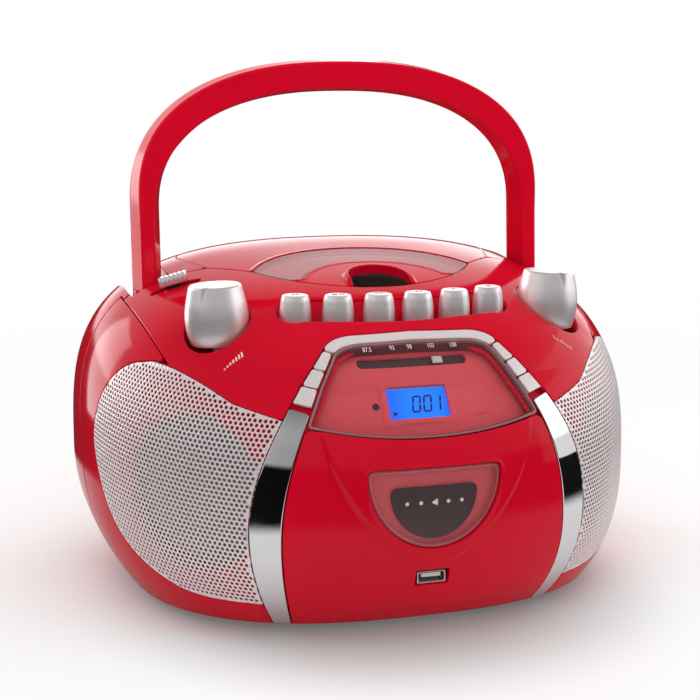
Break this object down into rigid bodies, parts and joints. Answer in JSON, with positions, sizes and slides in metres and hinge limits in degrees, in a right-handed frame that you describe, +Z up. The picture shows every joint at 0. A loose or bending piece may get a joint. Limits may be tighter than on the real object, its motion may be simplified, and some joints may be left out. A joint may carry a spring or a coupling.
{
  "type": "portable cassette and disc player",
  "caption": "Rounded portable stereo with disc lid, tape door, push keys, two rotary knobs, perforated speaker grilles and a folding carry handle",
  "frame": {"origin": "on the floor under the middle of the case's bounding box", "axes": "+Z up, the front with the tape door faces -Y, +X to the viewer's right when facing the front"},
  "size_m": [0.3044, 0.2546, 0.2818],
  "materials": {
    "red_shell": "high gloss",
    "grille_metal": "satin",
    "mirror_chrome": "mirror",
    "satin_silver": "satin metallic",
    "smoke_window": "clear smoked",
    "blue_display": "backlit",
    "pale_plastic": "satin",
    "steel": "satin",
    "black_plastic": "satin",
    "circuit_board": "satin",
    "copper_windings": "satin",
    "speaker_paper": "matte",
    "black_rubber": "matte"
  },
  "bodies": {
    "case": {"front_cabinet": "red_shell", "rear_cabinet": "red_shell", "control_panel": "red_shell", "right_grille": "grille_metal", "left_grille": "grille_metal", "right_trim_strip": "mirror_chrome", "left_trim_strip": "mirror_chrome", "trim_arch": "satin_silver", "display_window": "smoke_window", "display_bezel": "red_shell", "lcd_module": "blue_display", "usb_socket": "steel", "right_handle_pin": "steel", "left_handle_pin": "steel", "lid_hinge_pin": "steel", "disc_deck": "black_plastic", "main_board": "circuit_board", "transformer": "copper_windings", "right_speaker": "steel", "left_speaker": "steel", "right_speaker_cone": "speaker_paper", "left_speaker_cone": "speaker_paper", "tape_deck_plate": "steel", "tape_head": "steel", "deck_motor": "steel", "drive_belt": "black_rubber", "mains_inlet": "black_plastic"},
    "disc_lid_body": {"disc_lid": "red_shell", "disc_lid_window": "smoke_window"},
    "door_body": {"cassette_door": "red_shell", "cassette_door_window": "smoke_window", "cassette_carrier": "black_plastic"},
    "handle_body": {"carry_handle": "red_shell"},
    "pause_body": {"pause_key": "satin_silver"},
    "stop_eject_body": {"stop_eject_key": "satin_silver"},
    "fast_forward_body": {"fast_forward_key": "satin_silver"},
    "rewind_body": {"rewind_key": "satin_silver"},
    "play_body": {"play_key": "satin_silver"},
    "record_body": {"record_key": "satin_silver"},
    "right_disc_button_1_body": {"right_disc_button_1": "satin_silver"},
    "left_disc_button_1_body": {"left_disc_button_1": "satin_silver"},
    "right_disc_button_2_body": {"right_disc_button_2": "satin_silver"},
    "left_disc_button_2_body": {"left_disc_button_2": "satin_silver"},
    "right_disc_button_3_body": {"right_disc_button_3": "satin_silver"},
    "left_disc_button_3_body": {"left_disc_button_3": "satin_silver"},
    "volume_body": {"volume_knob": "satin_silver"},
    "tuning_body": {"tuning_knob": "satin_silver"},
    "pointer_body": {"dial_pointer": "pale_plastic"},
    "slider_body": {"function_slider": "satin_silver"},
    "hub_body": {"disc_hub": "steel"},
    "sled_body": {"laser_sled": "black_plastic"},
    "right_reel_body": {"right_reel_spindle": "black_plastic"},
    "left_reel_body": {"left_reel_spindle": "black_plastic"},
    "flywheel_body": {"capstan_flywheel": "steel"},
    "roller_body": {"pinch_roller": "black_rubber"},
    "pulley_body": {"motor_pulley": "steel"},
    "battery_body": {"battery_door": "red_shell"},
    "antenna_body": {"antenna_base": "black_plastic", "antenna_mast": "mirror_chrome"},
    "antenna_tip_body": {"antenna_tip": "mirror_chrome"}
  },
  "joints": [
    {"name": "lid_hinge", "type": "hinge", "parent": "case", "child": "disc_lid_body", "pos_m": [0, 0.1006, 0.17064], "axis": [-1, 0, 0], "range_deg": [0, 50]},
    {"name": "door_hinge", "type": "hinge", "parent": "case", "child": "door_body", "pos_m": [0, -0.098, 0.011], "axis": [1, 0, 0], "range_deg": [0, 16]},
    {"name": "handle_fold", "type": "hinge", "parent": "case", "child": "handle_body", "pos_m": [0, 0.0275, 0.15], "axis": [-1, 0, 0], "range_deg": [0, 74]},
    {"name": "pause_press", "type": "slide", "parent": "case", "child": "pause_body", "axis": [0, 0, -1], "range_m": [0, 0.0045], "stiffness_N_per_m": 600, "springref_m": -0.001},
    {"name": "stop_eject_press", "type": "slide", "parent": "case", "child": "stop_eject_body", "axis": [0, 0, -1], "range_m": [0, 0.0045], "stiffness_N_per_m": 600, "springref_m": -0.001},
    {"name": "fast_forward_press", "type": "slide", "parent": "case", "child": "fast_forward_body", "axis": [0, 0, -1], "range_m": [0, 0.0045], "stiffness_N_per_m": 600, "springref_m": -0.001},
    {"name": "rewind_press", "type": "slide", "parent": "case", "child": "rewind_body", "axis": [0, 0, -1], "range_m": [0, 0.0045], "stiffness_N_per_m": 600, "springref_m": -0.001},
    {"name": "play_press", "type": "slide", "parent": "case", "child": "play_body", "axis": [0, 0, -1], "range_m": [0, 0.0045], "stiffness_N_per_m": 600, "springref_m": -0.001},
    {"name": "record_press", "type": "slide", "parent": "case", "child": "record_body", "axis": [0, 0, -1], "range_m": [0, 0.0045], "stiffness_N_per_m": 600, "springref_m": -0.001},
    {"name": "right_disc_button_1_press", "type": "slide", "parent": "case", "child": "right_disc_button_1_body", "axis": [0, 1, 0], "range_m": [0, 0.0009], "stiffness_N_per_m": 800, "springref_m": -0.0004},
    {"name": "left_disc_button_1_press", "type": "slide", "parent": "case", "child": "left_disc_button_1_body", "axis": [0, 1, 0], "range_m": [0, 0.0009], "stiffness_N_per_m": 800, "springref_m": -0.0004},
    {"name": "right_disc_button_2_press", "type": "slide", "parent": "case", "child": "right_disc_button_2_body", "axis": [0, 1, 0], "range_m": [0, 0.0009], "stiffness_N_per_m": 800, "springref_m": -0.0004},
    {"name": "left_disc_button_2_press", "type": "slide", "parent": "case", "child": "left_disc_button_2_body", "axis": [0, 1, 0], "range_m": [0, 0.0009], "stiffness_N_per_m": 800, "springref_m": -0.0004},
    {"name": "right_disc_button_3_press", "type": "slide", "parent": "case", "child": "right_disc_button_3_body", "axis": [0, 1, 0], "range_m": [0, 0.0009], "stiffness_N_per_m": 800, "springref_m": -0.0004},
    {"name": "left_disc_button_3_press", "type": "slide", "parent": "case", "child": "left_disc_button_3_body", "axis": [0, 1, 0], "range_m": [0, 0.0009], "stiffness_N_per_m": 800, "springref_m": -0.0004},
    {"name": "volume_turn", "type": "hinge", "parent": "case", "child": "volume_body", "pos_m": [-0.08983, -0.0515, 0.14054], "axis": [-0.0523, 0, 0.9986], "range_deg": [-150, 150]},
    {"name": "tuning_turn", "type": "hinge", "parent": "case", "child": "tuning_body", "pos_m": [0.08983, -0.0515, 0.14054], "axis": [0.0523, 0, 0.9986], "range_deg": [-220, 75]},
    {"name": "pointer_slide", "type": "slide", "parent": "case", "child": "pointer_body", "axis": [1, 0, 0], "range_m": [-0.0396, 0.0136]},
    {"name": "slider_slide", "type": "slide", "parent": "case", "child": "slider_body", "axis": [0.9136, -0.2937, 0.2811], "range_m": [-0.0075, 0.0075]},
    {"name": "hub_spin", "type": "hinge", "parent": "case", "child": "hub_body", "pos_m": [0, 0.021, 0.152], "axis": [0, 0, 1], "continuous": true},
    {"name": "sled_slide", "type": "slide", "parent": "case", "child": "sled_body", "axis": [1, 0, 0], "range_m": [-0.0105, 0.0015]},
    {"name": "right_reel_spin", "type": "hinge", "parent": "case", "child": "right_reel_body", "pos_m": [0.02125, -0.095, 0.068], "axis": [0, -1, 0], "continuous": true},
    {"name": "left_reel_spin", "type": "hinge", "parent": "case", "child": "left_reel_body", "pos_m": [-0.02125, -0.095, 0.068], "axis": [0, -1, 0], "continuous": true},
    {"name": "flywheel_spin", "type": "hinge", "parent": "case", "child": "flywheel_body", "pos_m": [-0.028, -0.062, 0.097], "axis": [0, -1, 0], "continuous": true},
    {"name": "roller_spin", "type": "hinge", "parent": "case", "child": "roller_body", "pos_m": [-0.028, -0.096, 0.1042], "axis": [0, -1, 0], "continuous": true},
    {"name": "pulley_spin", "type": "hinge", "parent": "case", "child": "pulley_body", "pos_m": [0.028, -0.062, 0.042], "axis": [0, -1, 0], "continuous": true},
    {"name": "battery_door_off", "type": "slide", "parent": "case", "child": "battery_body", "axis": [0, 1, 0], "range_m": [0, 0.04]},
    {"name": "antenna_swivel", "type": "hinge", "parent": "case", "child": "antenna_body", "pos_m": [0.07, 0.1135, 0.152], "axis": [0, 1, 0], "range_deg": [0, 90]},
    {"name": "antenna_extend", "type": "slide", "parent": "antenna_body", "child": "antenna_tip_body", "axis": [-1, 0, 0], "range_m": [0, 0.1]}
  ],
  "couplings": [
    {"joint": "pointer_slide", "follows": "tuning_turn", "m_per_rad": 0.01024},
    {"joint": "pulley_spin", "follows": "flywheel_spin", "ratio": 4.25}
  ]
}
